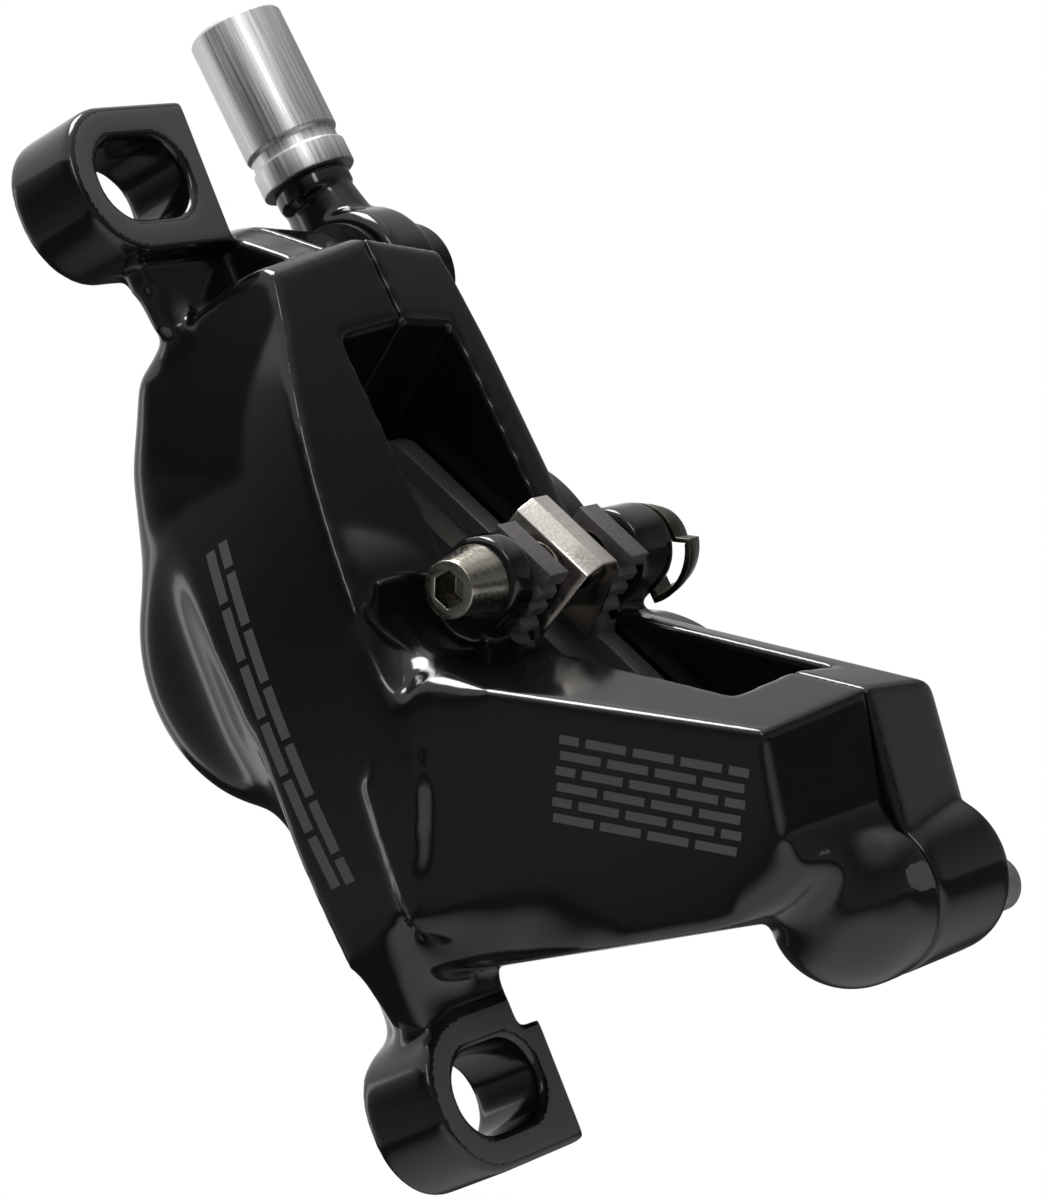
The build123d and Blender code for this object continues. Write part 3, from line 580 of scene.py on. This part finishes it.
# The foot of the CAD model's collar, which the neck runs up to
collar_foot = Vector((1.76 * MM, eye_middle.y, 35.71 * MM))
neck_way = (collar_foot - eye_middle).normalized()
# Start along the neck, lower radius, upper radius and length in millimetres, and how much wider than deep
waist_cones = ((5.0, 2.9, 2.5, 3.2, 1.3), (7.2, 2.4, 3.3, 1.2, 1.0))
for start, low, high, length, wide in waist_cones:
    bpy.ops.object.select_all(action="DESELECT")
    bpy.ops.mesh.primitive_cone_add(vertices=64, radius1=low * MM, radius2=high * MM, depth=length * MM,
                                    location=eye_middle + neck_way * (start + length / 2) * MM,
                                    rotation=(0, math.atan2(neck_way.x, neck_way.z), 0), scale=(wide, 1, 1))
    cone = bpy.context.object
    bpy.ops.object.transform_apply(location=True, rotation=True, scale=True)
    only(banjo_fitting)
    cone.select_set(True)
    bpy.ops.object.join()
skin(banjo_fitting, square=0.1 * MM, rounds=EDGE_ROUNDS)
thin_out(banjo_fitting, kept=0.3)
banjo_fitting.data.materials.append(body_black)
dress(banjo_fitting, "hose_end", "banjo")

# %% [markdown]
# Every other CAD node keeps its shape and gets the finish of the real part.

# %% Finish the CAD nodes
finishes = {
    "body_bolt": bolt_black, "banjo_bolt": bolt_black, "banjo_washer": washer_aluminium,
    "crossover_seal": seal_rubber, "seal": seal_rubber, "piston": piston_phenolic, "friction": friction_mix,
    "pad_spring": spring_stainless, "bleed_plug": plug_grey, "backing_plate": plate_paint,
    "hose_ferrule": sleeve_aluminium, "pad_pin": pin_nickel, "pin_clip": clip_nickel,
}
for name, node in nodes.items():
    finish = next((finishes[start] for start in finishes if name.startswith(start)), body_black)
    node.data.materials.clear()
    node.data.materials.append(finish)
print("finished nodes:", len(nodes))

# %% [markdown]
# The camera stands where the photographer's did: it was worked out from the known 74 mm between the ear
# slots. Its axes to the right and down are given in the object's own frame, and forward is square to both.

# %% Camera
camera_place = Vector((201.57, -239.94, -36.14)) * MM
camera_right = Vector((0.7273, 0.581, -0.3654))
camera_down = Vector((-0.3534, -0.1394, -0.925))
camera_data = bpy.data.cameras.new("camera")
camera_data.lens = 123.66
camera_data.sensor_width = 36
camera_data.sensor_fit = "AUTO"
camera_data.clip_start = 0.01
camera = bpy.data.objects.new("camera", camera_data)
bpy.context.scene.collection.objects.link(camera)
camera_forward = camera_right.cross(camera_down).normalized()
axes = Matrix((camera_right, -camera_down, -camera_forward)).transposed().to_4x4()
camera.matrix_world = Matrix.Translation(camera_place) @ axes
bpy.context.scene.camera = camera
print("camera at a distance in mm of", round(camera_place.length / MM))

# %% [markdown]
# The studio. Polished black shows only what it mirrors. So the white surround is closed off by a dark
# curved card, as photographers do with glossy black things. The flats then turn black, and the white shows
# in the card's gap, behind on the left. As a backdrop and in reflections the surround is white. As a light
# on matte things it counts for much less, so that they keep their shadows.

# %% Studio surround
SURROUND_AS_LIGHT = 0.38
world = bpy.data.worlds.new("studio")
bpy.context.scene.world = world
world.use_nodes = True
tree = world.node_tree
tree.nodes.clear()
ray = add_node(tree, "ShaderNodeLightPath")
seen = add_node(tree, "ShaderNodeMath", {"operation": "MAXIMUM"}, _0=ray.outputs["Is Camera Ray"],
                _1=ray.outputs["Is Transmission Ray"])
seen = add_node(tree, "ShaderNodeMath", {"operation": "MAXIMUM"}, _0=seen.outputs[0],
                _1=ray.outputs["Is Glossy Ray"])
level = add_node(tree, "ShaderNodeMapRange", Value=seen.outputs[0], To_Min=SURROUND_AS_LIGHT,
                 To_Max=1.0)
surround = add_node(tree, "ShaderNodeBackground", Color=(1, 1, 1, 1), Strength=level.outputs[0])
add_node(tree, "ShaderNodeOutputWorld", Surface=surround.outputs[0])
bpy.context.scene.view_settings.view_transform = "Standard"
print("surround as a light:", SURROUND_AS_LIGHT)

# %% [markdown]
# Two upright strip lamps draw the thin bright lines along the rounded edges, one from the front and a weak
# one from the left. A wide lamp overhead gives the sleeve, the spring and the pin their bright upper sides.
# No lamp stands where a flat black face would mirror it to the camera.

# %% Lamps


def lamp(name, place, aim, width, height, power):
    """Area lamp at a place, aimed at another. All lengths are in millimetres, the power in watts."""
    data = bpy.data.lights.new(name, "AREA")
    data.shape = "RECTANGLE"
    data.size = width * MM
    data.size_y = height * MM
    data.energy = power
    light = bpy.data.objects.new(name, data)
    bpy.context.scene.collection.objects.link(light)
    light.location = Vector(place) * MM
    light.rotation_euler = (Vector(aim) - Vector(place)).to_track_quat("-Z", "Y").to_euler()


lamp("strip_front", (328, -229, 190), (10, 0, 10), 60, 260, 0.38)
lamp("strip_left", (-330, -160, 120), (10, 0, 0), 60, 320, 0.1)
lamp("top", (60, 60, 380), (10, 10, 0), 200, 160, 2.0)
print("lamps:", len(bpy.data.lights))

# %% [markdown]
# The card is the wall of a cylinder round the caliper, with a gap behind on the left. Several flat cards
# would do, but each corner between them would show in the gloss.

# %% Card's wall
CARD_RADIUS = 420 * MM
CARD_HEIGHT = 560 * MM
CARD_MIDDLE = 105 * MM
# The gap, in degrees from forwards towards inboard
card_gap = (118, 205)
bpy.ops.object.select_all(action="DESELECT")
bpy.ops.mesh.primitive_cylinder_add(vertices=96, radius=CARD_RADIUS, depth=CARD_HEIGHT,
                                    end_fill_type="NOTHING", location=(0, 0, CARD_MIDDLE))
card = bpy.context.object
card.name = "dark_card"
bpy.ops.object.mode_set(mode="EDIT")
bpy.ops.mesh.select_all(action="DESELECT")
bpy.ops.object.mode_set(mode="OBJECT")
for face in card.data.polygons:
    angle = math.degrees(math.atan2(face.center.y, face.center.x)) % 360
    face.select = card_gap[0] < angle < card_gap[1]
bpy.ops.object.mode_set(mode="EDIT")
bpy.ops.mesh.delete(type="FACE")
bpy.ops.object.mode_set(mode="OBJECT")
print("card faces:", len(card.data.polygons))

# %% [markdown]
# The card is seen only in reflections, and it isn't evenly dark. It has a glow low down, where the floor
# lights it, one high up at the right and at the back, and one at its left end, beside the gap. Flat faces
# then turn from black to dark grey along their length.

# %% Card's glow
material, tree = new_material("card_dark_felt")
place = add_node(tree, "ShaderNodeTexCoord")
split = add_node(tree, "ShaderNodeSeparateXYZ", Vector=place.outputs["Object"])
# Each ramp runs along one axis of the card, between two places in metres and two strengths
ramps = (
    ("low", "Z", -0.28, 0.05, 0.32, 0.06),
    ("high", "Z", 0.0, 0.14, 0.0, 0.5),
    ("right", "X", 0.0, 0.25, 0.0, 1.0),
    ("back", "Y", -0.1, 0.1, 0.0, 1.0),
    ("left", "Y", -0.32, -0.18, 0.0, 0.6),
    ("end", "X", -0.1, -0.2, 0.0, 1.0),
)
# The high glow shows where it is right or back, the left one at the end, and they add to the low one
sums = (
    ("side", "MAXIMUM", "right", "back"),
    ("high", "MULTIPLY", "high", "side"),
    ("left", "MULTIPLY", "left", "end"),
    ("glow", "ADD", "low", "high"),
    ("glow", "ADD", "glow", "left"),
)
parts = {}
for name, axis, start, end, low, high in ramps:
    ramp = add_node(tree, "ShaderNodeMapRange", Value=split.outputs[axis], From_Min=start, From_Max=end,
                    To_Min=low, To_Max=high)
    parts[name] = ramp.outputs[0]
for name, operation, one, other in sums:
    both = add_node(tree, "ShaderNodeMath", {"operation": operation}, _0=parts[one], _1=parts[other])
    parts[name] = both.outputs[0]
glow = add_node(tree, "ShaderNodeEmission", Color=(1, 1, 1, 1), Strength=parts["glow"])
finish_material(tree, glow)
card.data.materials.append(material)
card.visible_camera = False
card.visible_diffuse = False
card.visible_shadow = False
print("glow nodes:", len(tree.nodes))

# %% [markdown]
# The floor is white paper. The camera sees it as white as the backdrop, so no horizon shows. In reflections
# it is white only near the caliper and falls off with the distance, as paper does that one lamp lights.

# %% White floor
FLOOR_HEIGHT = -95 * MM
# The middle of the lit part, how far it has full strength, where its fall ends and what is left there
LIT_MIDDLE = (0.08, -0.06, 0.0)
LIT_REACH = 0.08
FALL_END = 0.22
FAR_GLOW = 0.05
bpy.ops.object.select_all(action="DESELECT")
bpy.ops.mesh.primitive_plane_add(size=6, location=(0, 0, FLOOR_HEIGHT))
floor = bpy.context.object
floor.name = "floor"
material, tree = new_material("floor_white_paper")
shader = add_node(tree, "ShaderNodeBsdfPrincipled", Base_Color=(1, 1, 1, 1), Roughness=0.9)
ray = add_node(tree, "ShaderNodeLightPath")
place = add_node(tree, "ShaderNodeTexCoord")
away = add_node(tree, "ShaderNodeVectorMath", {"operation": "DISTANCE"}, _0=place.outputs["Object"],
                _1=LIT_MIDDLE)
near = add_node(tree, "ShaderNodeMapRange", Value=away.outputs["Value"], From_Min=LIT_REACH,
                From_Max=FALL_END, To_Min=1.0, To_Max=FAR_GLOW)
level = add_node(tree, "ShaderNodeMath", {"operation": "MAXIMUM"}, _0=ray.outputs["Is Camera Ray"],
                 _1=near.outputs[0])
glow = add_node(tree, "ShaderNodeEmission", Color=(1, 1, 1, 1), Strength=level.outputs[0])
seen = add_node(tree, "ShaderNodeMath", {"operation": "MAXIMUM"}, _0=ray.outputs["Is Camera Ray"],
                _1=ray.outputs["Is Glossy Ray"])
both = add_node(tree, "ShaderNodeMixShader", Fac=seen.outputs[0], _1=shader.outputs[0], _2=glow.outputs[0])
finish_material(tree, both)
floor.data.materials.append(material)
print("floor height in mm:", round(FLOOR_HEIGHT / MM))
